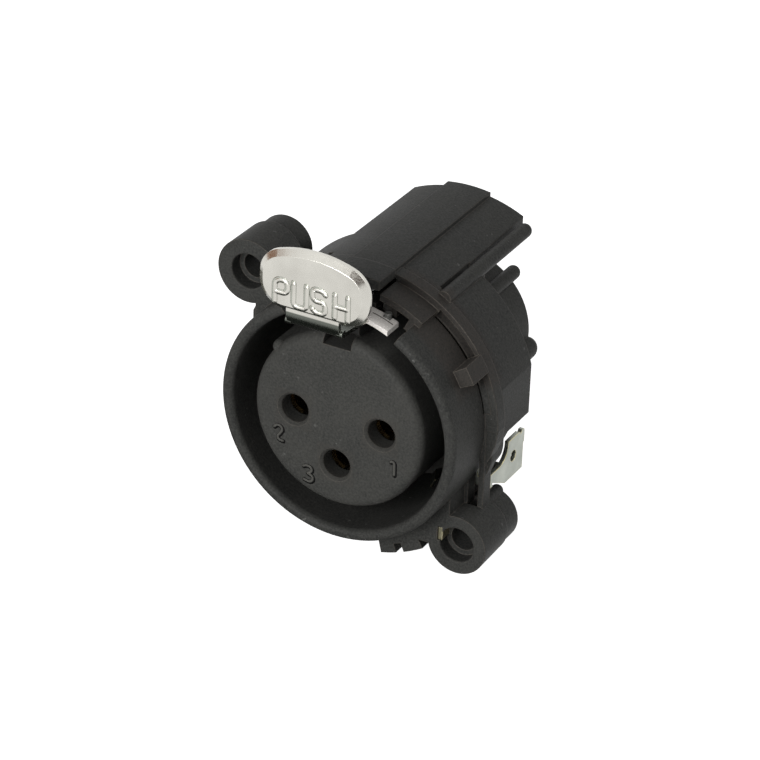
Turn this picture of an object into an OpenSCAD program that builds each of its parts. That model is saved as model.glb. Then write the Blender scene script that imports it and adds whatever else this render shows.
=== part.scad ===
// Three-pole panel socket with a push latch, held behind a panel by two screws.
// Millimetres. +Y runs to the rear along the mating axis, +Z up, +X to the right seen from the front.
// The origin is on the mating axis, in the plane where the panel rests on the screw bosses.

/* [Mating ring] */
// inner diameter, for a plug shell of 19 mm
ring_inner_d = 19.4; // [19.2:0.02:19.6]
// wall of the ring that passes through the panel
ring_wall = 1.03; // [0.8:0.01:1.3]
// how far the ring stands in front of the panel seat
ring_proud = 2.8; // [2:0.1:4]
// half the angle of the latch window at the top of the ring
window_half_angle = 30; // [28:1:34]

/* [Screw bosses] */
// screw distance across
screw_span_x = 19.9; // [19.4:0.1:20.4]
// screw distance upwards
screw_span_z = 19.44; // [19:0.02:20]
// outer radius of the upper boss at the panel
boss_r = 2.8; // [2.5:0.05:2.9]
// outer radius of a boss at its rear end
boss_rear_r = 2.45; // [2.3:0.05:2.5]
// length of a boss
boss_len = 6.2; // [5:0.1:8]
// radius of the screw hole
screw_hole_r = 1.1; // [0.9:0.05:1.25]
// radius of the wider mouth of the screw hole
screw_mouth_r = 1.54; // [1.4:0.02:1.7]
// depth of the wider mouth
screw_mouth_depth = 1.3; // [0.8:0.1:2.5]

/* [Body] */
// distance from the panel seat to the collar
collar_y = 2.55; // [2:0.05:3.5]
// thickness of the collar
collar_t = 1.25; // [0.8:0.05:2]
// how far the collar stands out from the ring
collar_rim = 1.17; // [0.9:0.01:1.4]
// step from the collar down to the barrel behind it
barrel_step = 0.2; // [0.1:0.05:0.4]
// rear end of the barrel
barrel_y = 9.4; // [9:0.1:11]
// depth of the flats on both sides of the barrel
flat_cut = 0.4; // [0.2:0.05:0.6]
// width of the square corners outside the screws
corner_side = 0.93; // [0.7:0.01:1.1]
// height of the square corners above and below the screws
corner_end = 2.38; // [2:0.01:2.6]
// bottom of the mating space
socket_floor_y = 8.2; // [7.4:0.1:8.4]

/* [Latch tunnel] */
// rear end of the tunnel
tunnel_y = 19.3; // [17:0.1:21]
// half width of the tunnel at its rear end
tunnel_half_w = 5.12; // [4.9:0.02:5.4]
// how far the tunnel roof stands out from the ring
roof_rise = 1.05; // [0.8:0.01:1.2]
// height of the raised band on the roof
band_rise = 0.37; // [0.2:0.01:0.6]
// half width of the raised band
band_half_w = 2; // [1.5:0.1:2.6]
// wall of the tunnel
tunnel_wall = 0.9; // [0.7:0.05:1.2]

/* [Contact insert] */
// diameter of the insert
insert_d = 15.5; // [15:0.05:15.8]
// how far the insert stands behind the lip of the ring
insert_recess = 0.17; // [0:0.01:1]
// radius of the circle on which the three contacts stand
contact_circle_r = 3.97; // [3.8:0.01:4.1]
// diameter of the three entry holes
entry_d = 2.5; // [2.44:0.02:2.8]
// radius of the insert behind the barrel
rear_body_r = 6.25; // [6:0.05:6.6]

/* [Latch] */
// width of the push tab
tab_w = 9.8; // [9:0.1:10.4]
// lower edge of the push tab
tab_low_z = 11.45; // [11.2:0.05:11.8]
// upper edge of the push tab
tab_top_z = 17.05; // [16.5:0.05:17.5]
// distance of the tab's face in front of the panel seat
tab_front = 7.25; // [6.5:0.05:8]
// sheet thickness of the latch
latch_t = 0.4; // [0.3:0.05:0.5]

/* [Hidden] */
$fn = 96;

eps = 0.05;
bore_r = ring_inner_d / 2;
ring_r = bore_r + ring_wall;
collar_r = ring_r + collar_rim;
barrel_r = collar_r - barrel_step;
flat_x = barrel_r - flat_cut;
tunnel_r = ring_r + roof_rise;
band_r = tunnel_r + band_rise;
lip_y = -ring_proud;
screw_x = screw_span_x / 2;
screw_z = screw_span_z / 2;
corner_x = screw_x + corner_side;
corner_z = screw_z + corner_end;
insert_r = insert_d / 2;
insert_y = lip_y + insert_recess;
black = [0.06, 0.06, 0.065];

// seat of the insert in the housing, from the rear
carrier_flange_r = bore_r + 0.6;
carrier_flange_t = 1;
carrier_fit = 0.02;

// plug shell room kept clear under the latch
shell_r = bore_r - 0.08;

// window, latch slot and hinge
arch_y = -0.1;
arch_inner_r = ring_r + 0.02;
arch_side_r = ring_r + 0.57;
slot_half_w = 2.2;
slot_top_z = band_r - 0.8;
slot_end_y = 6.1;
wall_y = 0.5;
wall_half_w = 3.4;
hinge_y = 4.6;
hinge_z = shell_r + 0.76;
pin_r = 0.4;
pin_fit = 0.03;
pin_half_len = 3.3;
knuckle_r = 0.75;

// spring between the carrier and the roof
spring_y = 1.75;
spring_r = 0.85;
wire_r = 0.11;
spring_turns = 4;

// draws a flat outline (x across, z up) from y0 to y1
module along(y0, y1) translate([0, y1, 0]) rotate([90, 0, 0]) linear_extrude(y1 - y0) children();

// draws a side outline (y along, z up) from x0 to x1
module across(x0, x1)
    translate([x0, 0, 0]) rotate([90, 0, 90]) linear_extrude(x1 - x0) children();

// turns a profile (radius across, depth along y) about the mating axis
module turned() rotate([-90, 0, 0]) rotate_extrude() children();

// flat sector between two angles, wide enough for any radius used here
module sector(a0, a1, r = 16) {
    steps = max(1, ceil((a1 - a0) / 45));
    polygon(concat([[0, 0]], [for (i = [0 : steps]) let (a = a0 + (a1 - a0) * i / steps)
        [r * cos(a), r * sin(a)] / cos((a1 - a0) / steps / 2)]));
}

// flat ring between two radii and two angles
module arc_band(r0, r1, a0, a1) intersection() {
    difference() {
        circle(r1);
        circle(r0);
    }
    sector(a0, a1);
}

module rod(x, z, r, y0, y1) {
    along(y0, y1 - r) translate([x, z]) circle(r);
    translate([x, y1 - r, z]) sphere(r);
}

// both corners, half a turn apart
module both_corners() {
    children();
    rotate([0, 180, 0]) children();
}

module housing_ring() {
    lip_r = (ring_r - bore_r) / 2;
    turned() {
        translate([bore_r, lip_y + lip_r]) square([ring_r - bore_r, barrel_y - lip_y - lip_r]);
        translate([bore_r + lip_r, lip_y + lip_r]) circle(lip_r, $fn = 40);
    }
}

module boss(r) {
    front_len = 4.1;
    translate([screw_x, 0, -screw_z]) rotate([-90, 0, 0]) {
        cylinder(r1 = r, r2 = r - 0.06, h = front_len);
        cylinder(r = boss_rear_r, h = boss_len);
    }
}

// front web between the ring and a boss
module boss_web() {
    web_x = screw_x - 0.75;
    web_z = screw_z + 0.58;
    along(0, collar_y + eps) intersection() {
        translate([web_x - 4.4, -web_z]) square([4.4, 5.6]);
        difference() {
            square(40, center = true);
            circle(bore_r + 0.4);
        }
    }
}

// square corner of the collar that carries a boss
module corner_plate(high, slant) along(collar_y, collar_y + collar_t) difference() {
    translate([screw_x - 3.35, -corner_z]) square([corner_x - screw_x + 3.35, corner_z - high]);
    translate([screw_x + 0.6, -screw_z - 4]) square([4, 3.6]);
    // slanted down to the boss
    translate([screw_x - 3.45, -corner_z - 0.1])
        polygon([[-1, 0], [-1, slant], [0, slant], [1.17 * slant, 0]]);
}

// pocket between the ring and the outer edge of the collar
module corner_pocket() difference() {
    pocket_edge = 0.48;
    along(collar_y - 0.1, collar_y + collar_t + eps) translate([corner_x - pocket_edge - 0.9, -7.5])
        square([0.9, 6.7]);
    along(collar_y - 1, collar_y + collar_t + 1) circle(ring_r);
}

// blocks around the ring whose fronts touch the panel
module seat_blocks() {
    along(0, collar_y + eps) {
        arc_band(ring_r - 0.3, ring_r + 1.32, 26.3, 33.8);
        arc_band(ring_r - 0.3, ring_r + 2.27, 293.5, 302);
        arc_band(ring_r - 0.3, ring_r + 1.47, 283.8, 302.5);
    }
    along(0, 1.1) arc_band(ring_r - 0.3, ring_r + 2.27, 283.8, 290.2);
}

tunnel_front_w = tunnel_half_w + 0.25;
module tunnel_outline(r) intersection() {
    circle(r);
    translate([-tunnel_front_w, bore_r - 0.4]) square([2 * tunnel_front_w, 5]);
}

module arch() along(arch_y, collar_y + eps) {
    arc_band(bore_r + 0.3, arch_side_r, 90 - window_half_angle - 2.5, 90 + window_half_angle + 2.5);
    intersection() {
        arc_band(bore_r + 0.3, band_r + 0.15, 70, 110);
        translate([-band_half_w - 0.1, 0]) square([2 * band_half_w + 0.2, band_r + 2]);
    }
}

module tunnel() {
    intersection() {
        along(collar_y, tunnel_y) difference() {
            tunnel_outline(tunnel_r);
            circle(bore_r - 0.6);
        }
        // sides drawn in slightly towards the rear
        linear_extrude(tunnel_r + 2) polygon([[-tunnel_front_w, collar_y], [-tunnel_half_w, tunnel_y],
            [tunnel_half_w, tunnel_y], [tunnel_front_w, collar_y]]);
    }
    along(collar_y, tunnel_y) intersection() {
        difference() {
            circle(band_r);
            circle(bore_r);
        }
        translate([-band_half_w, 0]) square([2 * band_half_w, band_r + 2]);
    }
    // side walls behind the barrel
    along(barrel_y - eps, 12.6) for (s = [-1, 1])
        translate([s * (tunnel_half_w - tunnel_wall / 2), bore_r - 1.1])
            square([tunnel_wall, 2.6], center = true);
}

// rails and pegs for the circuit board behind the socket
rail_x = tunnel_half_w + 0.9;
rail_z = barrel_r - 1.55;
rail_r = 0.62;
module rails() {
    rod(rail_x, rail_z, rail_r, collar_y + 1, tunnel_y - 0.9);
    rod(screw_x + 0.45, lug_low_z - 0.57, 0.55, collar_y + 0.5, boss_len + 0.4);
}

// room for the lug in the side of the barrel, with a rounded corner left at the front
module lug_room() intersection() {
    top_z = lug_top_z + 1.8;
    front_y = collar_y + collar_t;
    along(front_y, barrel_y + 1) difference() {
        circle(collar_r + 2);
        circle(bore_r + 0.55);
    }
    across(5, collar_r + 2) difference() {
        translate([front_y, lug_low_z - 0.02]) square([barrel_y, top_z - lug_low_z + 0.02]);
        translate([front_y - 1, top_z - 0.85]) square([2.15, 1]);
        translate([front_y - 1, top_z - 1.95]) square([1.05, 2]);
        translate([front_y + 0.05, top_z - 0.85]) circle(1.1, $fn = 48);
    }
}

module housing() color(black) difference() {
    union() {
        housing_ring();
        // collar and barrel
        along(collar_y, collar_y + collar_t) difference() {
            circle(collar_r);
            circle(bore_r + 0.2);
            translate([corner_x, -20]) square([4, 20]);
            translate([-corner_x - 4, 0]) square([4, 20]);
        }
        along(collar_y + 0.4, barrel_y) intersection() {
            difference() {
                circle(barrel_r);
                circle(bore_r + 0.2);
            }
            square([2 * flat_x, 40], center = true);
        }
        both_corners() boss_web();
        boss(boss_r - 0.18);
        corner_plate(0, 0.1);
        rotate([0, 180, 0]) {
            boss(boss_r);
            corner_plate(7.4, 1.8);
        }
        seat_blocks();
        arch();
        tunnel();
        rails();
    }
    // mating space
    along(lip_y - 1, socket_floor_y + eps) circle(bore_r);
    // seat of the insert
    along(socket_floor_y, barrel_y + 0.3) circle(carrier_flange_r + carrier_fit);
    // latch window in the ring
    along(lip_y - 1, arch_y) intersection() {
        circle(arch_inner_r + 2);
        sector(90 - window_half_angle, 90 + window_half_angle);
    }
    // room under the arch
    along(arch_y - eps, wall_y) intersection() {
        circle(arch_inner_r);
        sector(63, 117);
    }
    for (s = [0, 1]) mirror([s, 0, 0]) along(wall_y - eps, 2.2) intersection() {
        difference() {
            circle(arch_inner_r);
            translate([-wall_half_w, 0]) square([2 * wall_half_w, arch_inner_r + 1]);
        }
        sector(63, 90);
    }
    // latch slot
    along(arch_y - eps, slot_end_y) translate([-slot_half_w, bore_r - 1.7])
        square([2 * slot_half_w, slot_top_z - bore_r + 1.7]);
    // hinge pin hole, open on the left
    across(-tunnel_half_w - 1, pin_half_len + 0.05) translate([hinge_y, hinge_z]) circle(pin_r, $fn = 48);
    // hollow of the tunnel
    along(barrel_y - 1, tunnel_y + 1) intersection() {
        circle(tunnel_r - tunnel_wall);
        translate([-tunnel_half_w + tunnel_wall, 0]) square([2 * (tunnel_half_w - tunnel_wall), tunnel_r]);
    }
    // slot beside the rail
    along(collar_y + 1.9, barrel_y + eps) intersection() {
        difference() {
            circle(barrel_r + 1.3);
            circle(barrel_r - 0.8);
        }
        translate([tunnel_half_w + 0.05, rail_z - 2]) square([rail_x - rail_r - tunnel_half_w, 6]);
    }
    // groove around the ring, in the front of the collar
    along(collar_y - 0.2, collar_y + 1.5) {
        arc_band(bore_r + 0.45, collar_r - 0.4, 34, 57);
        arc_band(bore_r + 0.45, collar_r - 0.6, 8, 26);
    }
    both_corners() {
        corner_pocket();
        translate([screw_x, -eps, -screw_z]) rotate([-90, 0, 0]) {
            cylinder(r = screw_mouth_r, h = screw_mouth_depth + eps);
            cylinder(r = screw_hole_r, h = boss_len + 1);
            cylinder(r1 = screw_mouth_r + 0.12, r2 = screw_mouth_r - 0.02, h = 0.15);
        }
    }
    lug_room();
    // slots for the ground contact
    ground_slots();
}

// contacts
sleeve_r = 1.6;
sleeve_bore_r = 1.2;
sleeve_front_y = -0.9;
sleeve_end_y = 7.4;
tail_r = 0.4;
tail_y = 21.2;
contact_fit = 0.03;

module at_contact(n) translate(n == 1 ? [contact_circle_r, 0, 0]
    : n == 2 ? [-contact_circle_r, 0, 0] : [0, 0, -contact_circle_r]) children();

module contact(n) color([0.80, 0.62, 0.30]) at_contact(n) difference() {
    union() {
        along(sleeve_front_y, sleeve_end_y) circle(sleeve_r, $fn = 48);
        along(sleeve_end_y - eps, 12) circle(0.9, $fn = 48);
        along(12 - eps, tail_y) circle(tail_r, $fn = 32);
    }
    along(sleeve_front_y - 1, sleeve_end_y - 1.4) circle(sleeve_bore_r, $fn = 48);
    // lead-in and the two spring slots
    translate([0, sleeve_front_y - 0.01, 0]) rotate([-90, 0, 0])
        cylinder(r1 = sleeve_r - 0.08, r2 = sleeve_bore_r, h = 0.45, $fn = 48);
    along(sleeve_front_y - 1, 4.2) square([0.35, 4], center = true);
}

module contact_1() contact(1);

module contact_2() contact(2);

module contact_3() contact(3);

// insert with three entries, key slot and rear body
key_left = -1.43;
key_right = 1.1;
key_floor_z = insert_r - 0.97;
key_end_y = 6.2;
face_round = 0.8;
entry_lip = 0.26;

module insert_solid() {
    turned() {
        translate([0, insert_y]) square([insert_r - face_round, carrier_flange_t + socket_floor_y - insert_y]);
        translate([0, insert_y + face_round]) square([insert_r, socket_floor_y - insert_y]);
        translate([insert_r - face_round, insert_y + face_round]) circle(face_round, $fn = 48);
        translate([0, socket_floor_y]) square([carrier_flange_r, carrier_flange_t]);
    }
    along(socket_floor_y + 0.5, tunnel_y) circle(rear_body_r);
    // guide rib at the upper left
    rod_front((insert_r - 0.17) * cos(140), (insert_r - 0.17) * sin(140), 0.62, insert_y + 0.3, 5);
    // pegs on the rear body
    peg(rear_body_r + 0.42, 49.3, 0.62, tunnel_y + 0.85);
    peg(rear_body_r + 0.1, -12.3, 1, tunnel_y + 0.65);
}

module peg(at_r, angle, r, y1) rod(at_r * cos(angle), at_r * sin(angle), r, socket_floor_y + 0.4, y1);

module rod_front(x, z, r, y0, y1) {
    along(y0 + r, y1) translate([x, z]) circle(r, $fn = 40);
    translate([x, y0 + r, z]) sphere(r, $fn = 40);
}

module insert() color([0.09, 0.09, 0.09]) difference() {
    insert_solid();
    along(insert_y - 1, key_end_y) translate([key_left, key_floor_z]) square([key_right - key_left, 4]);
    for (n = [1 : 3]) at_contact(n) {
        along(insert_y - 1, 5) circle(entry_d / 2, $fn = 64);
        translate([0, insert_y - 0.01, 0]) rotate([-90, 0, 0])
            cylinder(r1 = entry_d / 2 + entry_lip, r2 = entry_d / 2, h = entry_lip, $fn = 64);
        along(sleeve_front_y, sleeve_end_y + 0.02) circle(sleeve_r + contact_fit, $fn = 64);
        along(5, 12.02) circle(0.9 + contact_fit, $fn = 48);
        along(11, tunnel_y + 1) circle(tail_r + contact_fit, $fn = 32);
    }
    // hollow rear between the contacts
    along(12.5, tunnel_y + 1) difference() {
        circle(rear_body_r - 0.8);
        for (n = [1 : 3]) let (a = n == 1 ? 0 : n == 2 ? 180 : 270)
            translate(contact_circle_r * [cos(a), sin(a)]) circle(1.25, $fn = 48);
        circle(1.2, $fn = 48);
        for (a = [0, 180, 270]) rotate(a) translate([0, -0.4]) square([8, 0.8]);
    }
}

// ground contact: lug at the right, finger in the ring, blade in the lower screw boss
lug_x = flat_x - 0.85;
lug_t = 0.38;
lug_top_z = -3.25;
lug_low_z = -6.93;
lug_root_z = -5.55;
lug_arm_z = -4.88;
lug_hollow_r = 1.53;
lug_front_y = 6.98;
lug_end_y = 9.85;
blade_x = screw_x - 1.75;
blade_z = -screw_z - 0.03;
blade_h = 1.2;
blade_y = 0.12;
finger_angle = 27.5;
finger_w = 0.9;
strip_y = collar_y + collar_t + 0.1;
strip_h = 0.8;
ground_fit = 0.03;

// drawn y along, z up: an arm at the root, a hollow front edge, a dent on top and a stepped end
module lug_outline() difference() {
    polygon([[strip_y, lug_root_z], [strip_y, lug_arm_z], [lug_front_y - lug_hollow_r, lug_arm_z],
        [lug_front_y - lug_hollow_r, lug_top_z], [lug_end_y - 0.95, lug_top_z],
        [lug_end_y - 0.8, lug_top_z - 0.23], [lug_end_y - 0.55, lug_top_z - 0.2],
        [lug_end_y - 0.45, lug_top_z], [lug_end_y - 0.1, lug_top_z - 0.03], [lug_end_y, lug_top_z - 0.25],
        [lug_end_y, lug_top_z - 1.2], [lug_end_y - 0.15, lug_top_z - 1.35], [lug_end_y - 0.15, lug_low_z],
        [strip_y + 2.7, lug_low_z]]);
    translate([lug_front_y - lug_hollow_r, lug_arm_z + lug_hollow_r]) circle(lug_hollow_r, $fn = 48);
    translate([lug_end_y - 1.93, (lug_top_z + lug_low_z) / 2 + 0.1]) circle(0.5, $fn = 32);
}

module ground_contact() color([0.80, 0.78, 0.72]) {
    across(lug_x, lug_x + lug_t) lug_outline();
    // cross strip behind the collar, towards the screw and the ring
    along(strip_y, strip_y + lug_t) ground_strip_outline(0);
    // blade in the mouth of the screw hole
    across(blade_x, blade_x + lug_t) translate([blade_y, blade_z]) square([strip_y - blade_y + lug_t, blade_h]);
    // spring finger towards the plug shell
    rotate([0, finger_angle, 0]) translate([0, 0, -finger_w / 2]) linear_extrude(finger_w)
        translate([bore_r, 0]) polygon([[0.45, strip_y + lug_t], [0.02, strip_y + lug_t], [-1.35, 0.3],
            [-0.75, -0.8], [-0.55, -0.6], [-0.98, 0.35], [0.28, strip_y], [0.45, strip_y]]);
}

// strip behind the collar: post at the screw, bar to the right, riser to the lug, foot of the finger
module ground_strip_outline(grow) {
    strip_z = -screw_z + 3.62;
    foot_x = (bore_r + 0.2) * cos(finger_angle) - 0.03;
    foot_z = -bore_r * sin(finger_angle) + 0.28;
    translate([blade_x - grow, blade_z - grow])
        square([lug_t + 2 * grow, strip_z + strip_h - blade_z + 2 * grow]);
    translate([blade_x - grow, strip_z - grow])
        square([lug_x + lug_t - blade_x + 2 * grow, strip_h + 2 * grow]);
    translate([lug_x - 0.6 - grow, strip_z - grow])
        square([lug_t + 0.6 + 2 * grow, lug_arm_z - strip_z + 2 * grow]);
    translate([foot_x - grow, strip_z - grow]) square([0.9 + 2 * grow, foot_z - strip_z + 2 * grow]);
}

module ground_slots() {
    along(strip_y - ground_fit, strip_y + lug_t + ground_fit) ground_strip_outline(ground_fit);
    across(blade_x - ground_fit, blade_x + lug_t + ground_fit) translate([-eps, blade_z - ground_fit])
        square([strip_y + lug_t + eps + ground_fit, blade_h + 2 * ground_fit]);
    rotate([0, finger_angle, 0]) translate([bore_r - 0.7, collar_y, -finger_w / 2 - ground_fit])
        cube([1.18, strip_y + lug_t + ground_fit - collar_y, finger_w + 2 * ground_fit]);
    across(lug_x - ground_fit, lug_x + lug_t + ground_fit) translate([strip_y - ground_fit, lug_low_z - 0.02])
        square([barrel_y, lug_top_z - lug_low_z + 0.1]);
}

// push latch: one bent sheet with tab, neck and two wings
tab_half_w = tab_w / 2;
tab_corner_r = 2.3;
tab_bow_r = 10.2;
tab_bevel = 0.5;
tab_t = 0.75;
neck_half_w = 2.35;
neck_z = shell_r + 0.73;
wing_half_w = 4.05;
wing_r = shell_r + 0.03;
wing_front_y = -2.15;
wing_back_y = -0.28;

bow_z = tab_top_z - tab_bow_r;
upper_x = tab_half_w - tab_corner_r;
upper_z = bow_z + sqrt(pow(tab_bow_r - tab_corner_r, 2) - pow(upper_x, 2));
lower_z = tab_low_z + tab_corner_r;
bow_angle = atan2(upper_z - bow_z, upper_x);

// rim profile: full thickness inside, slanted at the edge
module rim_profile(inner, outer)
    polygon([[inner, 0], [outer - tab_bevel, 0], [outer, tab_bevel * 0.85], [outer, tab_t], [inner, tab_t]]);

// piece of the rim around a centre, swept between two angles
module rim_arc(x, z, inner, outer, a0, a1) translate([x, -tab_front, z])
    rotate([-90, 0, 0]) rotate([0, 0, -a1]) rotate_extrude(angle = a1 - a0, $fn = 96)
    rim_profile(inner, outer);

module tab_outline(inset) {
    for (x = [-upper_x, upper_x]) {
        translate([x, upper_z]) circle(tab_corner_r - inset);
        translate([x, lower_z]) circle(tab_corner_r - inset);
    }
    translate([-tab_half_w + inset, lower_z]) square([tab_w - 2 * inset, upper_z - lower_z]);
    translate([-upper_x, tab_low_z + inset]) square([2 * upper_x, upper_z - tab_low_z - inset]);
    intersection() {
        translate([0, bow_z]) circle(tab_bow_r - inset);
        polygon([[-upper_x, upper_z - 0.5], [upper_x, upper_z - 0.5], [upper_x, upper_z],
            [2 * upper_x, 2 * upper_z - bow_z], [-2 * upper_x, 2 * upper_z - bow_z], [-upper_x, upper_z]]);
    }
}

module tab() {
    rim = tab_bevel + 0.3;
    rim_arc(upper_x, upper_z, tab_corner_r - rim, tab_corner_r, 0, bow_angle);
    rim_arc(-upper_x, upper_z, tab_corner_r - rim, tab_corner_r, 180 - bow_angle, 180);
    rim_arc(upper_x, lower_z, tab_corner_r - rim, tab_corner_r, -90, 0);
    rim_arc(-upper_x, lower_z, tab_corner_r - rim, tab_corner_r, 180, 270);
    rim_arc(0, bow_z, tab_bow_r - rim, tab_bow_r, bow_angle, 180 - bow_angle);
    // straight sides and lower edge
    for (s = [0, 1]) mirror([s, 0, 0]) translate([0, 0, lower_z]) linear_extrude(upper_z - lower_z)
        translate([upper_x, -tab_front]) rim_profile(tab_corner_r - rim, tab_corner_r);
    translate([-upper_x, 0, lower_z]) rotate([0, 90, 0]) linear_extrude(2 * upper_x)
        translate([0, -tab_front]) rim_profile(tab_corner_r - rim, tab_corner_r);
    along(-tab_front, -tab_front + tab_t) tab_outline(tab_bevel + 0.1);
}

// neck: leaves the lower edge of the tab, turns back and slopes down to the wings
bend_r = 1.1;
bend_y = -tab_front + 0.35 + bend_r;
bend_z = neck_z + bend_r - latch_t / 2;

module neck() difference() {
    across(-neck_half_w, neck_half_w) {
        intersection() {
            difference() {
                translate([bend_y, bend_z]) circle(bend_r + latch_t / 2, $fn = 64);
                translate([bend_y, bend_z]) circle(bend_r - latch_t / 2, $fn = 64);
            }
            translate([bend_y - 3, bend_z - 3]) square([3.1, 3.1]);
        }
        translate([bend_y - bend_r - latch_t / 2, bend_z]) square([latch_t, tab_low_z - bend_z + 1.2]);
        polygon([[bend_y, bend_z - bend_r - latch_t / 2], [wing_front_y + 0.4, wing_r - 0.1],
            [wing_front_y + 0.4, wing_r + 0.33], [bend_y, bend_z - bend_r + latch_t / 2]]);
    }
    along(-3, 0) circle(wing_r + 0.05);
}

module wings() {
    along(wing_front_y, wing_back_y) intersection() {
        difference() {
            circle(wing_r + latch_t);
            circle(wing_r);
        }
        translate([-wing_half_w, 0]) square([2 * wing_half_w, wing_r + 2]);
    }
}

module latch() color([0.85, 0.85, 0.84]) {
    tab();
    neck();
    wings();
    // rounded studs at the bend and on the wings
    for (s = [0, 1]) mirror([s, 0, 0]) {
        across(neck_half_w - 0.3, neck_half_w + 0.2)
            translate([bend_y - 0.75, bend_z - 0.75]) circle(0.33, $fn = 32);
        translate([3.2, wing_back_y - 0.2, wing_r - 0.25]) cylinder(r = 0.3, h = 0.5, $fn = 32);
    }
}

// moulded arm with the nose that catches the plug, and the hinge knuckle
arm_half_w = 1.9;
arm_top_z = shell_r + 0.58;
nose_half_w = 1.75;
nose_y = -2.55;
nose_z = shell_r - 1.57;
nose_back_y = 0.6;

module latch_carrier() color([0.05, 0.05, 0.055]) difference() {
    union() {
        // nose, slanted at the front where a plug arrives
        intersection() {
            across(-nose_half_w, nose_half_w) polygon([[nose_y, nose_z + 0.35], [nose_y + 0.35, nose_z],
                [nose_back_y - 0.3, nose_z], [nose_back_y, arm_top_z - 0.3], [nose_back_y, arm_top_z],
                [nose_y, arm_top_z]]);
            along(nose_y - 1, nose_back_y + 1) circle(wing_r);
        }
        // arm and knuckle
        across(-arm_half_w, arm_half_w) {
            translate([wing_back_y + 0.08, shell_r + 0.03]) square([hinge_y - wing_back_y, arm_top_z - shell_r]);
            translate([hinge_y, hinge_z]) circle(knuckle_r, $fn = 48);
            translate([hinge_y - 1.2, shell_r + 0.03]) square([1.2, 1]);
        }
        across(-nose_half_w, nose_half_w) polygon([[-0.6, shell_r - 0.62],
            [nose_back_y, shell_r - 0.62], [2, shell_r + 0.1], [0, shell_r + 0.1]]);
    }
    across(-arm_half_w - 1, arm_half_w + 1) translate([hinge_y, hinge_z]) circle(pin_r + pin_fit, $fn = 48);
    // room for the spring
    translate([0, spring_y, shell_r + 0.25]) cylinder(r = spring_r + wire_r + 0.12, h = 3, $fn = 48);
}

module hinge_pin() color([0.75, 0.75, 0.75])
    across(-pin_half_len, pin_half_len) translate([hinge_y, hinge_z]) circle(pin_r, $fn = 48);

// return spring, drawn as stacked rings joined by short risers
module latch_spring() color([0.8, 0.8, 0.8]) {
    riser = 0.14;
    low = shell_r + 0.25 + wire_r;
    high = slot_top_z - wire_r;
    rise = (high - low) / (spring_turns - 1);
    translate([0, spring_y, low]) for (i = [0 : spring_turns - 1]) {
        translate([0, 0, i * rise]) rotate_extrude($fn = 48) translate([spring_r, 0]) circle(wire_r, $fn = 24);
        if (i < spring_turns - 1) rotate([0, 0, 120 * i])
            translate([spring_r - riser / 2, -riser / 2, i * rise]) cube([riser, riser, rise]);
    }
}

housing();
insert();
contact_1();
contact_2();
contact_3();
ground_contact();
latch();
latch_carrier();
hinge_pin();
latch_spring();
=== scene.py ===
import bpy, bmesh, math
from mathutils import Matrix, Vector


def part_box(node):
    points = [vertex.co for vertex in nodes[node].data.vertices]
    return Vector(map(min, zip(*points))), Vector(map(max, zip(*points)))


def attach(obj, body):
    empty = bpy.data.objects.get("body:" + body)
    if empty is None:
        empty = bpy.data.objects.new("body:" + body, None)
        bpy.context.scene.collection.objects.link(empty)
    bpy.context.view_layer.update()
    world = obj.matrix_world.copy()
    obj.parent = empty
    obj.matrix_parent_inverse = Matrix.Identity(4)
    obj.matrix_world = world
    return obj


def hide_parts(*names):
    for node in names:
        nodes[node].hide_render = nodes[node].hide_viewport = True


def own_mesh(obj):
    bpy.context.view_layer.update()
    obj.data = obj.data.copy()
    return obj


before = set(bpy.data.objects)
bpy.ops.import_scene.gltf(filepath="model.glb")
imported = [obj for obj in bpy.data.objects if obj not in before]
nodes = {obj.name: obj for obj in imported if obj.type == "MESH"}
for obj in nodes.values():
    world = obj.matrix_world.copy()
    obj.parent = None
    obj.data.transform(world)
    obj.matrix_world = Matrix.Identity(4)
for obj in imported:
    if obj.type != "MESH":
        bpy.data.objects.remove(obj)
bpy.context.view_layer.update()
print("stage: frame loaded,", len(nodes), "nodes")

# the viewing angle of the photograph; distances in metres, angles in degrees
cameraSet = {"place": (0.119167, -0.221698, 0.142167), "azimuth": 27.771, "elevation": 28.987,
             "roll": 2.101, "lens": 169.51, "sensor": 36, "clip": (0.01, 10)}


def feed(tree, socket, value):
    # links an output or sets a constant
    if isinstance(value, bpy.types.NodeSocket):
        tree.links.new(value, socket)
    else:
        socket.default_value = value


def newMaterial(name):
    mat = bpy.data.materials.new(name)
    mat.use_nodes = True
    tree = mat.node_tree
    tree.nodes.clear()
    out = tree.nodes.new("ShaderNodeOutputMaterial")
    shader = tree.nodes.new("ShaderNodeBsdfPrincipled")
    tree.links.new(shader.outputs[0], out.inputs[0])
    return mat, tree, shader, out


def addNode(tree, kind, inputs=None, **settings):
    node = tree.nodes.new(kind)
    for key, value in settings.items():
        setattr(node, key, value)
    for key, value in (inputs or {}).items():
        feed(tree, node.inputs[key], value)
    return node


def mathNode(tree, operation, a, b=0.0, clamp=False):
    return addNode(tree, "ShaderNodeMath", {0: a, 1: b}, operation=operation, use_clamp=clamp).outputs[0]


def mixColour(tree, fac, a, b):
    return addNode(tree, "ShaderNodeMix", {0: fac, 6: a, 7: b}, data_type="RGBA").outputs[2]


def solid(colour):
    return (*colour, 1)


def metres(millimetres):
    return millimetres / 1000


def ramp(tree, value, low, high, outLow=0.0, outHigh=1.0):
    return addNode(tree, "ShaderNodeMapRange", {"Value": value, "From Min": low, "From Max": high,
                   "To Min": outLow, "To Max": outHigh}, clamp=True).outputs[0]


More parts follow.
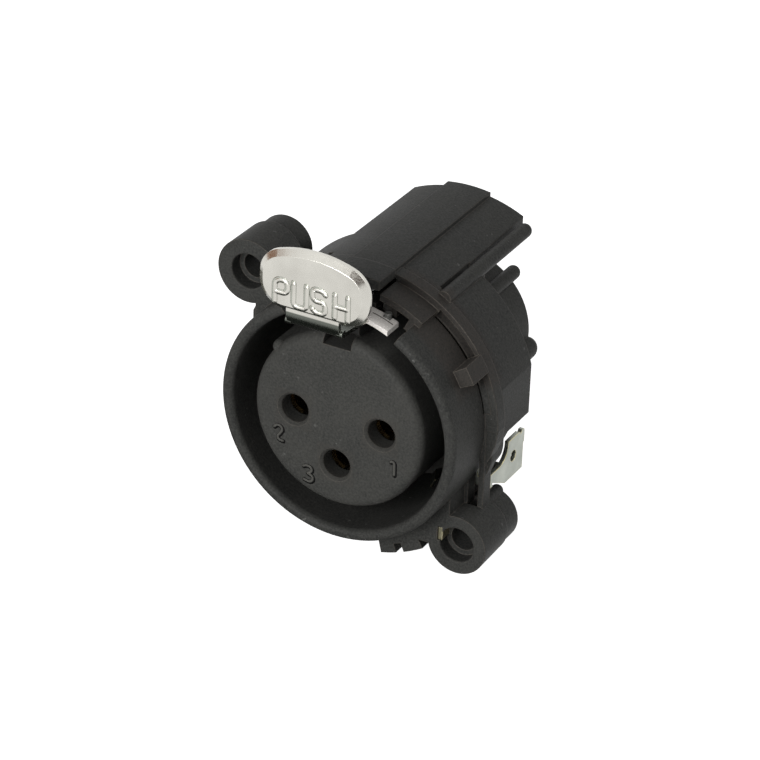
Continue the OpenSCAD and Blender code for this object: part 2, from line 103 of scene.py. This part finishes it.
def noise(tree, scale, detail, roughness):
    place = tree.nodes.new("ShaderNodeTexCoord").outputs["Object"]
    return addNode(tree, "ShaderNodeTexNoise", {"Vector": place, "Scale": scale, "Detail": detail,
                   "Roughness": roughness}).outputs["Fac"]


def makeGroup(name, inputs, outputs, kind="ShaderNodeTree"):
    group = bpy.data.node_groups.new(name, kind)
    for direction, sockets in (("INPUT", inputs), ("OUTPUT", outputs)):
        for label, value in sockets.items():
            group.interface.new_socket(label, in_out=direction, socket_type="NodeSocket" + value)
    return group, group.nodes.new("NodeGroupInput"), group.nodes.new("NodeGroupOutput")


def useGroup(tree, group, inputs):
    return addNode(tree, "ShaderNodeGroup", inputs, node_tree=group)


# the stretches of a noise that are spread to its full range
softBand, fineBand, wideBand = (0.3, 0.7), (0.35, 0.65), (0.25, 0.75)
# cosines between the bevelled and the plain normal at which the paler edge, wear and a painted edge
# highlight, begins and is full
edgeSet = {"begin": 0.955, "full": 0.82, "samples": 8, "breakupScale": 3000.0, "breakup": (0.35, 0.62),
           "least": 0.35}
# the specks' noise has a share of the grain's scale
grainSet = {"speckShare": 0.36, "speckBand": (0.70, 0.78)}


def buildEdgeGroup():
    # rounded edge normal and a mask of the paler edges, partly wear and partly a painted edge highlight
    group, source, sink = makeGroup("edgeWear", {"Radius": "Float", "Wear": "Float"},
                                    {"Normal": "Vector", "Mask": "Float"})
    bevel = addNode(group, "ShaderNodeBevel", {"Radius": source.outputs["Radius"]},
                    samples=edgeSet["samples"])
    geometry = group.nodes.new("ShaderNodeNewGeometry")
    dot = addNode(group, "ShaderNodeVectorMath", {0: bevel.outputs[0], 1: geometry.outputs["Normal"]},
                  operation="DOT_PRODUCT")
    edge = ramp(group, dot.outputs["Value"], edgeSet["begin"], edgeSet["full"])
    broken = noise(group, edgeSet["breakupScale"], detail=3.0, roughness=0.6)
    broken = ramp(group, broken, *edgeSet["breakup"], edgeSet["least"], 1.0)
    mask = mathNode(group, "MULTIPLY", edge, broken)
    mask = mathNode(group, "MULTIPLY", mask, source.outputs["Wear"], clamp=True)
    group.links.new(bevel.outputs[0], sink.inputs["Normal"])
    group.links.new(mask, sink.inputs["Mask"])
    return group


def buildGrainGroup():
    # fine moulded grain, soft mottling and sparse pale specks
    group, source, sink = makeGroup("mouldedGrain",
        {"Grain Scale": "Float", "Mottle Scale": "Float", "Speck Amount": "Float"},
        {"Height": "Float", "Mottle": "Float", "Specks": "Float"})
    grain = noise(group, source.outputs["Grain Scale"], detail=4.0, roughness=0.65)
    mottle = noise(group, source.outputs["Mottle Scale"], detail=3.0, roughness=0.55)
    speckScale = mathNode(group, "MULTIPLY", source.outputs["Grain Scale"], grainSet["speckShare"])
    specks = ramp(group, noise(group, speckScale, detail=2.0, roughness=0.5), *grainSet["speckBand"])
    specks = mathNode(group, "MULTIPLY", specks, source.outputs["Speck Amount"], clamp=True)
    group.links.new(grain, sink.inputs["Height"])
    group.links.new(mottle, sink.inputs["Mottle"])
    group.links.new(specks, sink.inputs["Specks"])
    return group


def buildZoneGroup():
    # soft-edged box in part coordinates
    group, source, sink = makeGroup("boxZone",
        {"Centre": "Vector", "Half Size": "Vector", "Softness": "Float"}, {"Mask": "Float"})
    place = group.nodes.new("ShaderNodeTexCoord").outputs["Object"]
    offset = addNode(group, "ShaderNodeVectorMath", {0: place, 1: source.outputs["Centre"]},
                     operation="SUBTRACT")
    folded = addNode(group, "ShaderNodeVectorMath", {0: offset.outputs[0]}, operation="ABSOLUTE")
    outside = addNode(group, "ShaderNodeVectorMath", {0: folded.outputs[0],
                      1: source.outputs["Half Size"]}, operation="SUBTRACT")
    axes = addNode(group, "ShaderNodeSeparateXYZ", {0: outside.outputs[0]})
    far = mathNode(group, "MAXIMUM", axes.outputs[1], axes.outputs[2])
    far = mathNode(group, "MAXIMUM", axes.outputs[0], far)
    mask = mathNode(group, "DIVIDE", mathNode(group, "MAXIMUM", far, 0.0), source.outputs["Softness"])
    mask = mathNode(group, "SUBTRACT", 1.0, mask, clamp=True)
    group.links.new(mask, sink.inputs["Mask"])
    return group


edgeWear = buildEdgeGroup()
mouldedGrain = buildGrainGroup()
boxZone = buildZoneGroup()


def zoneMask(tree, zone):
    return useGroup(tree, boxZone, {"Centre": zone["centre"], "Half Size": zone["half"],
                    "Softness": zone["soft"]}).outputs["Mask"]


def finishSurface(tree, shader, look, base, height, roughSource, roughBand, edge):
    tree.links.new(base, shader.inputs["Base Color"])
    rough = ramp(tree, roughSource, *roughBand, *look["roughness"])
    tree.links.new(rough, shader.inputs["Roughness"])
    bump = addNode(tree, "ShaderNodeBump", {"Strength": look["bump"], "Distance": look["bumpDepth"],
                   "Height": height, "Normal": edge.outputs["Normal"]})
    tree.links.new(bump.outputs[0], shader.inputs["Normal"])


def plasticMaterial(name, look):
    mat, tree, shader, out = newMaterial(name)
    grain = useGroup(tree, mouldedGrain, {"Grain Scale": look["grainScale"],
                     "Mottle Scale": look["mottleScale"], "Speck Amount": look["specks"]}).outputs
    edge = useGroup(tree, edgeWear, {"Radius": look["edgeRadius"], "Wear": look["wear"]})
    base = mixColour(tree, ramp(tree, grain["Mottle"], *softBand), solid(look["dark"]), solid(look["light"]))
    fine = ramp(tree, grain["Height"], *fineBand, 0.0, look["fineContrast"])
    base = mixColour(tree, fine, base, solid(look["fine"]))
    base = mixColour(tree, grain["Specks"], base, solid(look["speck"]))
    paleEdges = edge.outputs["Mask"]
    for zone in look["zones"]:
        # rubbed, brownish plastic with paler edges; round the contact entries the paler tone and paler edges
        # are a painted highlight
        mask = zoneMask(tree, zone)
        rubAndHighlight = mathNode(tree, "MULTIPLY", mask, ramp(tree, grain["Height"], *softBand, 0.2, 1.0))
        rubAndHighlight = mathNode(tree, "MULTIPLY", rubAndHighlight, zone["amount"])
        base = mixColour(tree, rubAndHighlight, base, solid(zone["colour"]))
        paleEdges = mathNode(tree, "MULTIPLY", paleEdges, ramp(tree, mask, 0.0, 1.0, 1.0, zone["wear"]), clamp=True)
    # paler edges: partly wear, partly a painted edge highlight
    base = mixColour(tree, paleEdges, base, solid(look["edge"]))
    shader.inputs["Specular IOR Level"].default_value = look["specular"]
    finishSurface(tree, shader, look, base, grain["Height"], grain["Mottle"], wideBand, edge)
    return mat


def metalMaterial(name, look):
    mat, tree, shader, out = newMaterial(name)
    grain = noise(tree, look["grainScale"], detail=4.0, roughness=0.6)
    cloud = noise(tree, look["cloudScale"], detail=2.0, roughness=0.5)
    edge = useGroup(tree, edgeWear, {"Radius": look["edgeRadius"], "Wear": look["wear"]})
    base = mixColour(tree, ramp(tree, cloud, *softBand), solid(look["dark"]), solid(look["light"]))
    # paler edges: partly wear, partly a painted edge highlight
    base = mixColour(tree, edge.outputs["Mask"], base, solid(look["edge"]))
    for zone in look["zones"]:
        mask = mathNode(tree, "MULTIPLY", zoneMask(tree, zone), zone["amount"])
        base = mixColour(tree, mask, base, solid(zone["colour"]))
    # a satin stretch has less mirror in it
    satin = mathNode(tree, "MULTIPLY", zoneMask(tree, look["satinZone"]), look["satinZone"]["amount"])
    tree.links.new(mathNode(tree, "SUBTRACT", look["metallic"], satin, clamp=True), shader.inputs["Metallic"])
    finishSurface(tree, shader, look, base, grain, grain, softBand, edge)
    return mat


# zones are soft-edged boxes in part coordinates, in metres
rubbedCollar = {"centre": (0.0072, 0.0018, 0.0088), "half": (0.0042, 0.0022, 0.0045), "soft": 0.0008,
                "colour": (0.055, 0.043, 0.036), "amount": 0.6, "wear": 1.6}
# painted highlight: a paler tone and paler edges on the chamfers round the contact entries
entryRimHighlights = []
for name in ("contact_1", "contact_2", "contact_3"):
    low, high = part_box(name)
    entryRimHighlights.append({"centre": ((low[0] + high[0]) / 2, -0.0025, (low[2] + high[2]) / 2),
                      "half": (0.0016, 0.0006, 0.0016), "soft": 0.0002,
                      "colour": (0.06, 0.055, 0.048), "amount": 0.4, "wear": 2.6})
# painted reflection: a darker, greenish neck stands in for the dark surroundings the metal would mirror there
neckPaintedReflection = {"centre": (0, -0.0051, 0.0106), "half": (0.0027, 0.0026, 0.0008), "soft": 0.0001,
            "colour": (0.085, 0.098, 0.083), "amount": 0.9}
satinWings = {"centre": (0, -0.0011, 0.0096), "half": (0.0042, 0.0012, 0.0008), "soft": 0.00005,
              "colour": (1.0, 0.95, 0.90), "amount": 0.8}
# painted shade: a thin dark line for the shaded slit at the wing's bend
wingSlotShade = {"centre": (0.0030, -0.0010, 0.0096), "half": (0.0009, 0.00005, 0.0008), "soft": 0.00003,
            "colour": (0.06, 0.05, 0.04), "amount": 0.9}
rivets = [{"centre": (x, -0.00048, 0.0098), "half": (0.00031, 0.00031, 0.0004), "soft": 0.00003,
           "colour": (0.05, 0.055, 0.05), "amount": 0.9} for x in (-0.0032, 0.0032)]
socketShade = {"centre": (0, 0.003, 0), "half": (0.02, 0.006, 0.02), "soft": 0.0005,
               "colour": (0.055, 0.036, 0.017), "amount": 0.85}
# painted shade: the finger inside the ring is darkened
fingerShade = {"centre": (0.0083, 0.0004, -0.0046), "half": (0.0013, 0.0018, 0.0013), "soft": 0.0001,
              "colour": (0.022, 0.022, 0.019), "amount": 0.9}
# painted reflection: a bright cream patch on the blade
bladeReflection = {"centre": (0.0084, 0.0010, -0.0091), "half": (0.0006, 0.0013, 0.0010), "soft": 0.0001,
             "colour": (0.66, 0.60, 0.40), "amount": 0.9}

# plastics
housingLook = {"dark": (0.025, 0.026, 0.025), "light": (0.039, 0.0395, 0.037),
               "fine": (0.085, 0.084, 0.078), "speck": (0.24, 0.24, 0.23), "edge": (0.135, 0.120, 0.102),
               "fineContrast": 0.55, "grainScale": 5500.0, "mottleScale": 300.0, "specks": 0.4,
               "edgeRadius": 0.00018, "wear": 0.8, "roughness": (0.43, 0.54), "specular": 0.08,
               "bump": 0.7, "bumpDepth": 0.00003, "zones": [rubbedCollar]}
insertLook = dict(housingLook, dark=(0.036, 0.037, 0.035), light=(0.050, 0.050, 0.046), specks=0.25,
                  roughness=(0.47, 0.58), grainScale=5000.0, zones=entryRimHighlights)
# painted highlight: the raised digits are a lighter tone than the insert they stand on
digitLook = dict(insertLook, dark=(0.085, 0.083, 0.076), light=(0.10, 0.098, 0.088), wear=0.3,
                 specks=0.0, zones=[])
# painted shadow: a dark outline set off to the lower right of each digit
digitShadeLook = dict(digitLook, dark=(0.008, 0.008, 0.008), light=(0.010, 0.010, 0.010),
                      fineContrast=0.0, wear=0.0)
carrierLook = dict(housingLook, dark=(0.010, 0.010, 0.010), light=(0.016, 0.016, 0.015),
                   roughness=(0.27, 0.38), specks=0.1, fineContrast=0.15, wear=0.4, zones=[])

# metals
nickelLook = {"dark": (0.60, 0.585, 0.535), "light": (0.68, 0.665, 0.61), "edge": (0.93, 0.91, 0.87),
              "grainScale": 6000.0, "cloudScale": 500.0, "edgeRadius": 0.00006, "wear": 0.8,
              "metallic": 1.0, "roughness": (0.20, 0.30), "bump": 0.06, "bumpDepth": 0.00001,
              "zones": [neckPaintedReflection, satinWings, wingSlotShade, *rivets], "satinZone": satinWings}
goldLook = dict(nickelLook, dark=(0.50, 0.34, 0.14), light=(0.62, 0.45, 0.20), edge=(0.80, 0.62, 0.34),
                roughness=(0.22, 0.34), grainScale=3000.0, zones=[socketShade])
tinLook = dict(nickelLook, dark=(0.34, 0.36, 0.32), light=(0.45, 0.47, 0.42), edge=(0.66, 0.57, 0.27),
               wear=1.0, roughness=(0.32, 0.48), edgeRadius=0.00014, zones=[fingerShade, bladeReflection])
# painted shade: a darker outline round the tab's letters
wordShadeLook = dict(nickelLook, dark=(0.40, 0.41, 0.36), light=(0.46, 0.47, 0.42), wear=0.0, zones=[])
steelLook = dict(nickelLook, dark=(0.55, 0.55, 0.55), light=(0.68, 0.68, 0.68), zones=[])

materials = {
    "housing": plasticMaterial("blackGlassFilled", housingLook),
    "insert": plasticMaterial("blackInsert", insertLook),
    "contact_1": metalMaterial("goldPlate", goldLook),
    "ground_contact": metalMaterial("tinnedBrass", tinLook),
    "latch": metalMaterial("brightNickel", nickelLook),
    "latch_carrier": plasticMaterial("smoothBlack", carrierLook),
    "hinge_pin": metalMaterial("plainSteel", steelLook),
}
digitMaterial = plasticMaterial("raisedDigits", digitLook)
digitShadeMaterial = plasticMaterial("digitOutline", digitShadeLook)
wordShadeMaterial = metalMaterial("wordOutline", wordShadeLook)
materials["contact_2"] = materials["contact_3"] = materials["contact_1"]
materials["latch_spring"] = materials["hinge_pin"]
for name, node in nodes.items():
    node.data.materials.clear()
    node.data.materials.append(materials[name])
# keeps the bright sheet from throwing sparkles on the dark plastic around it
nodes["latch"].visible_diffuse = False
print("stage: materials on all nodes")


def startTree(name, labels):
    inputs = {"Geometry": "Geometry", **dict.fromkeys(labels, "Float"), "Material": "Material"}
    return makeGroup(name, inputs, {"Geometry": "Geometry"}, "GeometryNodeTree")


def finishTree(tree, shape, source, sink):
    real = addNode(tree, "GeometryNodeRealizeInstances", {"Geometry": shape})
    smooth = addNode(tree, "GeometryNodeSetShadeSmooth", {"Geometry": real.outputs[0]})
    dressed = addNode(tree, "GeometryNodeSetMaterial", {"Geometry": smooth.outputs[0],
                      "Material": source.outputs["Material"]})
    tree.links.new(dressed.outputs[0], sink.inputs[0])


strokeSet = {"sides": 14, "rings": 8, "cornerSteps": 6}


def buildStrokeTree():
    # round ridges along the drawn strokes
    tree, source, sink = startTree("raisedStroke", ("Radius", "Corner Radius"))
    radius = source.outputs["Radius"]
    line = addNode(tree, "GeometryNodeMeshToCurve", {"Mesh": source.outputs["Geometry"]})
    bent = addNode(tree, "GeometryNodeFilletCurve", {"Curve": line.outputs[0],
                   "Radius": source.outputs["Corner Radius"], "Count": strokeSet["cornerSteps"],
                   "Limit Radius": True}, mode="POLY")
    profile = addNode(tree, "GeometryNodeCurvePrimitiveCircle", {"Resolution": strokeSet["sides"],
                      "Radius": radius})
    ridge = addNode(tree, "GeometryNodeCurveToMesh", {"Curve": bent.outputs[0],
                    "Profile Curve": profile.outputs[0], "Fill Caps": True})
    # a ball rounds each open end
    near = addNode(tree, "GeometryNodeInputMeshVertexNeighbors")
    ends = addNode(tree, "FunctionNodeCompare", {2: near.outputs["Vertex Count"], 3: 1},
                   data_type="INT", operation="EQUAL")
    ball = addNode(tree, "GeometryNodeMeshUVSphere", {"Segments": strokeSet["sides"],
                   "Rings": strokeSet["rings"], "Radius": radius})
    tips = addNode(tree, "GeometryNodeInstanceOnPoints", {"Points": source.outputs["Geometry"],
                   "Selection": ends.outputs[0], "Instance": ball.outputs[0]})
    both = tree.nodes.new("GeometryNodeJoinGeometry")
    tree.links.new(ridge.outputs[0], both.inputs[0])
    tree.links.new(tips.outputs[0], both.inputs[0])
    finishTree(tree, both.outputs[0], source, sink)
    return tree


def bakeTree(name, mesh, tree, inputs, place):
    carrier = bpy.data.objects.new(name + "Carrier", mesh)
    bpy.context.scene.collection.objects.link(carrier)
    modifier = carrier.modifiers.new("shape", "NODES")
    modifier.node_group = tree
    for item in tree.interface.items_tree:
        if item.item_type == "SOCKET" and item.in_out == "INPUT" and item.name in inputs:
            modifier[item.identifier] = inputs[item.name]
    carrier.update_tag()
    graph = bpy.context.evaluated_depsgraph_get()
    baked = bpy.data.meshes.new_from_object(carrier.evaluated_get(graph), depsgraph=graph)
    bpy.data.objects.remove(carrier)
    baked.transform(place)
    baked.name = name
    piece = bpy.data.objects.new(name, baked)
    bpy.context.scene.collection.objects.link(piece)
    return piece


def strokeMesh(name, strokes):
    # each stroke is a list of (x, z) in millimetres
    verts, edges = [], []
    for stroke in strokes:
        start = len(verts)
        verts += [(metres(x), 0, metres(z)) for x, z in stroke]
        edges += [(start + i, start + i + 1) for i in range(len(stroke) - 1)]
    mesh = bpy.data.meshes.new(name)
    mesh.from_pydata(verts, edges, [])
    return mesh


strokeTree = buildStrokeTree()


def raisedStrokes(name, strokes, look, body):
    # a flat darker outline, a painted shadow, with the rounded stroke over it
    for layer, label in zip(look["layers"], ("Outline", "")):
        dx, dz = layer["shift"]
        moved = [[(x + dx, z + dz) for x, z in stroke] for stroke in strokes]
        inputs = {"Radius": layer["radius"], "Corner Radius": look["corner"], "Material": layer["material"]}
        flat = Matrix.Diagonal((1, layer["relief"], 1, 1))
        place = Matrix.Translation((0, metres(look["faceY"] + layer["sink"]), 0)) @ flat
        piece = bakeTree(name + label, strokeMesh(name, moved), strokeTree, inputs, place)
        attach(piece, body)


# the face and the strokes in millimetres, the radii in metres
digitSet = {"faceY": -2.63, "corner": 0.0004, "layers": (
    {"sink": 0.0, "radius": 0.00020, "relief": 0.15, "shift": (0.05, -0.05), "material": digitShadeMaterial},
    {"sink": 0.0, "radius": 0.00011, "relief": 0.8, "shift": (0, 0), "material": digitMaterial})}
digitStrokes = {
    "digitTwo": [[(-5.72, -2.08), (-5.50, -1.84), (-5.10, -1.84), (-4.93, -2.20), (-5.25, -2.66),
                  (-5.80, -3.12), (-4.90, -3.20)]],
    "digitThree": [[(-2.93, -4.92), (-2.62, -4.78), (-2.22, -4.84), (-2.10, -5.20), (-2.52, -5.50)],
                   [(-2.52, -5.50), (-2.12, -5.62), (-1.96, -5.96), (-2.30, -6.26), (-2.86, -6.14)]],
    "digitOne": [[(5.04, -2.12), (5.38, -1.72), (5.39, -3.24)]],
}
for name, strokes in digitStrokes.items():
    raisedStrokes(name, strokes, digitSet, "base")

# letters are drawn in a unit square; their places on the tab are in millimetres
wordSet = {"faceY": -7.25, "corner": 0.00055, "low": 12.13, "high": 14.12, "letterWidth": 1.16,
           "starts": (-3.27, -1.58, 0.10, 2.10), "layers": (
    {"sink": 0.0, "radius": 0.00026, "relief": 0.1, "shift": (-0.05, 0.03), "material": wordShadeMaterial},
    {"sink": 0.03, "radius": 0.00018, "relief": 0.6, "shift": (0, 0), "material": materials["latch"]})}
letterStrokes = (
    [[(0, 0), (0, 1), (0.7, 1), (1, 0.9), (1, 0.55), (0.7, 0.45), (0, 0.45)]],
    [[(0, 1), (0, 0.1), (0.2, 0), (0.8, 0), (1, 0.1), (1, 1)]],
    [[(1, 0.86), (0.8, 1), (0.2, 1), (0, 0.9), (0, 0.6), (0.25, 0.5), (0.75, 0.5), (1, 0.4), (1, 0.1),
      (0.8, 0), (0.2, 0), (0, 0.14)]],
    [[(0, 0), (0, 1)], [(1, 0), (1, 1)], [(0, 0.5), (1, 0.5)]],
)
wordStrokes = []
for start, letter in zip(wordSet["starts"], letterStrokes):
    for stroke in letter:
        wordStrokes.append([(start + x * wordSet["letterWidth"],
                             wordSet["low"] + z * (wordSet["high"] - wordSet["low"])) for x, z in stroke])
raisedStrokes("tabWord", wordStrokes, wordSet, "latch_arm")
print("stage: digits and word")


# shallow floors that round the two grooves off towards the ring; degrees and millimetres
grooveShape = {"face": 2.55, "deep": 4.0, "ringOuter": 10.73, "fillet": 0.55, "rise": 0.85,
               "steps": 18, "rows": 10}
grooveSets = (
    {"name": "grooveFloorUpper", "angles": (33.8, 57.2), "radii": (10.16, 11.51), "depths": (0.75, 0.75)},
    {"name": "grooveFloorRight", "angles": (7.9, 26.2), "radii": (10.16, 11.31), "depths": (0.03, 0.95)})


def closedPiece(name, verts, faces):
    # verts in millimetres; a closed piece of the housing's plastic
    mesh = bpy.data.meshes.new(name)
    mesh.from_pydata([tuple(metres(v) for v in vert) for vert in verts], [], faces)
    shape = bmesh.new()
    shape.from_mesh(mesh)
    bmesh.ops.recalc_face_normals(shape, faces=shape.faces)
    shape.to_mesh(mesh)
    shape.free()
    mesh.materials.append(materials["housing"])
    piece = bpy.data.objects.new(name, mesh)
    bpy.context.scene.collection.objects.link(piece)
    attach(piece, "base")


def between(pair, t):
    return pair[0] + t * (pair[1] - pair[0])


def grooveFloor(cut):
    steps, rows = grooveShape["steps"], grooveShape["rows"]
    front, back = [], []
    for i in range(steps + 1):
        angle = math.radians(between(cut["angles"], i / steps))
        depth = between(cut["depths"], (i / steps) ** 2)
        for j in range(rows + 1):
            r = between(cut["radii"], j / rows)
            away = min(max((r - grooveShape["ringOuter"]) / grooveShape["fillet"], 0), 1)
            y = grooveShape["face"] + depth * (1 - grooveShape["rise"] * (1 - away) ** 2)
            front.append((r * math.cos(angle), y, r * math.sin(angle)))
            back.append((r * math.cos(angle), grooveShape["deep"], r * math.sin(angle)))
    row, shift = rows + 1, len(front)
    faces = []
    for i in range(steps):
        for j in range(rows):
            a = i * row + j
            quad = (a, a + row, a + row + 1, a + 1)
            faces += [quad, tuple(v + shift for v in quad)]
        faces += [(a, a + shift, a + shift + row, a + row) for a in (i * row, i * row + rows)]
    for j in range(rows):
        faces += [(a, a + shift, a + shift + 1, a + 1) for a in (j, steps * row + j)]
    closedPiece(cut["name"], front + back, faces)


for cut in grooveSets:
    grooveFloor(cut)

# the collar runs out below the middle: outline in x and z, thickness in y, millimetres
taperSet = {"outline": ((10.86, 0.02), (11.88, 0.02), (11.74, -1.1), (11.34, -2.3), (10.86, -3.4)),
            "y": (2.56, 3.8)}
count = len(taperSet["outline"])
taperFaces = [tuple(range(count)), tuple(range(count, 2 * count))]
taperFaces += [(i, i + count, (i + 1) % count + count, (i + 1) % count) for i in range(count)]
closedPiece("collarTaper", [(x, y, z) for y in taperSet["y"] for x, z in taperSet["outline"]], taperFaces)
print("stage: groove floors and collar end")

# millimetres, and the share of the coil's height that is left when the latch is pressed
springSet = {"low": 9.87, "high": 11.35, "y": 1.75, "radius": 0.85, "wire": 0.11, "turns": 3.25,
             "pressedShare": 0.6, "stepsPerTurn": 36, "sides": 12}


def buildCoilTree():
    tree, source, sink = startTree("coilSpring", ("Radius", "Wire", "Height", "Turns"))
    coil = addNode(tree, "GeometryNodeCurveSpiral", {"Resolution": springSet["stepsPerTurn"],
                   "Rotations": source.outputs["Turns"], "Start Radius": source.outputs["Radius"],
                   "End Radius": source.outputs["Radius"], "Height": source.outputs["Height"]})
    profile = addNode(tree, "GeometryNodeCurvePrimitiveCircle", {"Resolution": springSet["sides"],
                      "Radius": source.outputs["Wire"]})
    wire = addNode(tree, "GeometryNodeCurveToMesh", {"Curve": coil.outputs[0],
                   "Profile Curve": profile.outputs[0], "Fill Caps": True})
    finishTree(tree, wire.outputs[0], source, sink)
    return tree


wire, springY, springTop = metres(springSet["wire"]), metres(springSet["y"]), metres(springSet["high"])
coilLow, coilHigh = metres(springSet["low"]) + wire, springTop - wire
coil = bakeTree("latchCoil", bpy.data.meshes.new("latchCoil"), buildCoilTree(),
                {"Radius": metres(springSet["radius"]), "Wire": wire, "Height": coilHigh - coilLow,
                 "Turns": springSet["turns"], "Material": materials["hinge_pin"]},
                Matrix.Translation((0, springY, coilLow)))
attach(coil, "base")
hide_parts("latch_spring")
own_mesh(coil)
print("stage: return spring")


# metres and watts; the lamps point at the origin
floorSet = {"z": -0.0136, "half": 1.5, "colour": (0.9, 0.9, 0.9), "roughness": 0.9, "glow": 0.93}
worldLight = 0.08
lampSets = {
    "frontSoftbox": {"place": (-0.02, -0.37, 0.13), "size": 0.24, "power": 1.2},
    "topSoftbox": {"place": (0.22, 0.03, 0.30), "size": 0.24, "power": 0.3},
}
cardZ = floorSet["z"] + 0.0002
cardSets = {
    # painted shadow: a dark sheet on the floor under the part, seen only in reflections, stands in for its
    # shadow there
    "floorShadowCard": {"colour": (0.05, 0.055, 0.05), "corners": [
        (-0.03, -0.03, cardZ), (0.011, -0.03, cardZ), (0.011, 0.012, cardZ), (-0.03, 0.012, cardZ)]},
    "warmCard": {"colour": (0.30, 0.17, 0.11), "corners": [
        (-0.20, -0.14, 0.02), (-0.20, 0.02, 0.02), (-0.20, 0.02, 0.16), (-0.20, -0.14, 0.16)]},
    "sideCard": {"colour": (0.12, 0.12, 0.10), "corners": [
        (-0.065, -0.005, cardZ), (-0.03, -0.005, cardZ), (-0.03, 0.04, cardZ), (-0.065, 0.04, cardZ)]},
    "darkCard": {"colour": (0.05, 0.03, 0.02), "corners": [
        (0.045, -0.285, 0.095), (0.220, -0.170, 0.095), (0.165, -0.070, 0.235), (-0.01, -0.185, 0.235)]},
}


def areaLamp(name, look):
    data = bpy.data.lights.new(name, "AREA")
    data.shape = "DISK"
    data.size = look["size"]
    data.energy = look["power"]
    lamp = bpy.data.objects.new(name, data)
    lamp.location = look["place"]
    lamp.rotation_euler = (-Vector(look["place"])).to_track_quat("-Z", "Y").to_euler()
    bpy.context.scene.collection.objects.link(lamp)


def stageSheet(name, corners):
    mesh = bpy.data.meshes.new(name)
    mesh.from_pydata(corners, [], [(0, 1, 2, 3)])
    sheet = bpy.data.objects.new(name, mesh)
    bpy.context.scene.collection.objects.link(sheet)
    return sheet


def glowNode(tree, colour, strength):
    return addNode(tree, "ShaderNodeEmission", {"Color": solid(colour), "Strength": strength}).outputs[0]


def buildFloor():
    half, z = floorSet["half"], floorSet["z"]
    corners = [(-half, -half, z), (half, -half, z), (half, half, z), (-half, half, z)]
    floor = stageSheet("studioFloor", corners)
    mat, tree, shader, out = newMaterial("paleFloor")
    shader.inputs["Base Color"].default_value = solid(floorSet["colour"])
    shader.inputs["Roughness"].default_value = floorSet["roughness"]
    path = tree.nodes.new("ShaderNodeLightPath")
    seen = mathNode(tree, "MAXIMUM", path.outputs["Is Glossy Ray"], path.outputs["Is Transmission Ray"])
    mix = addNode(tree, "ShaderNodeMixShader", {0: seen, 1: shader.outputs[0],
                  2: glowNode(tree, (1, 1, 1), 1.0)})
    # added to the lamps' light for the camera alone: white in the open, a faint shadow under the part
    camera = mathNode(tree, "MULTIPLY", path.outputs["Is Camera Ray"], floorSet["glow"])
    total = addNode(tree, "ShaderNodeAddShader", {0: mix.outputs[0], 1: glowNode(tree, (1, 1, 1), camera)})
    tree.links.new(total.outputs[0], out.inputs[0])
    floor.data.materials.append(mat)


def reflectCard(name, look):
    # a card beside the set that only shiny surfaces see
    card = stageSheet(name, look["corners"])
    mat, tree, shader, out = newMaterial(name)
    tree.links.new(glowNode(tree, look["colour"], 1.0), out.inputs[0])
    card.data.materials.append(mat)
    card.visible_camera = card.visible_diffuse = card.visible_shadow = card.visible_transmission = False


def buildWorld():
    world = bpy.data.worlds.new("studioWorld")
    bpy.context.scene.world = world
    world.use_nodes = True
    tree = world.node_tree
    tree.nodes.clear()
    out = tree.nodes.new("ShaderNodeOutputWorld")
    light = addNode(tree, "ShaderNodeBackground", {"Color": (1, 1, 1, 1), "Strength": worldLight})
    white = addNode(tree, "ShaderNodeBackground", {"Color": (1, 1, 1, 1), "Strength": 1.0})
    path = tree.nodes.new("ShaderNodeLightPath")
    seen = mathNode(tree, "MAXIMUM", path.outputs["Is Camera Ray"], path.outputs["Is Transmission Ray"])
    seen = mathNode(tree, "MAXIMUM", seen, path.outputs["Is Glossy Ray"])
    mix = addNode(tree, "ShaderNodeMixShader", {0: seen, 1: light.outputs[0], 2: white.outputs[0]})
    tree.links.new(mix.outputs[0], out.inputs[0])


def buildCamera():
    az, el, roll = (math.radians(cameraSet[k]) for k in ("azimuth", "elevation", "roll"))
    back = Vector((math.sin(az) * math.cos(el), -math.cos(az) * math.cos(el), math.sin(el)))
    side = Vector((math.cos(az), math.sin(az), 0))
    up = back.cross(side)
    right = side * math.cos(roll) + up * math.sin(roll)
    up = up * math.cos(roll) - side * math.sin(roll)
    data = bpy.data.cameras.new("photoCamera")
    data.lens = cameraSet["lens"]
    data.sensor_width = cameraSet["sensor"]
    data.clip_start, data.clip_end = cameraSet["clip"]
    camera = bpy.data.objects.new("photoCamera", data)
    camera.matrix_world = Matrix((
        (right.x, up.x, back.x, cameraSet["place"][0]),
        (right.y, up.y, back.y, cameraSet["place"][1]),
        (right.z, up.z, back.z, cameraSet["place"][2]),
        (0, 0, 0, 1)))
    bpy.context.scene.collection.objects.link(camera)
    bpy.context.scene.camera = camera


buildFloor()
buildWorld()
buildCamera()
for name, look in lampSets.items():
    areaLamp(name, look)
for name, look in cardSets.items():
    reflectCard(name, look)
bpy.context.scene.view_settings.view_transform = "Standard"
print("stage: studio and camera")
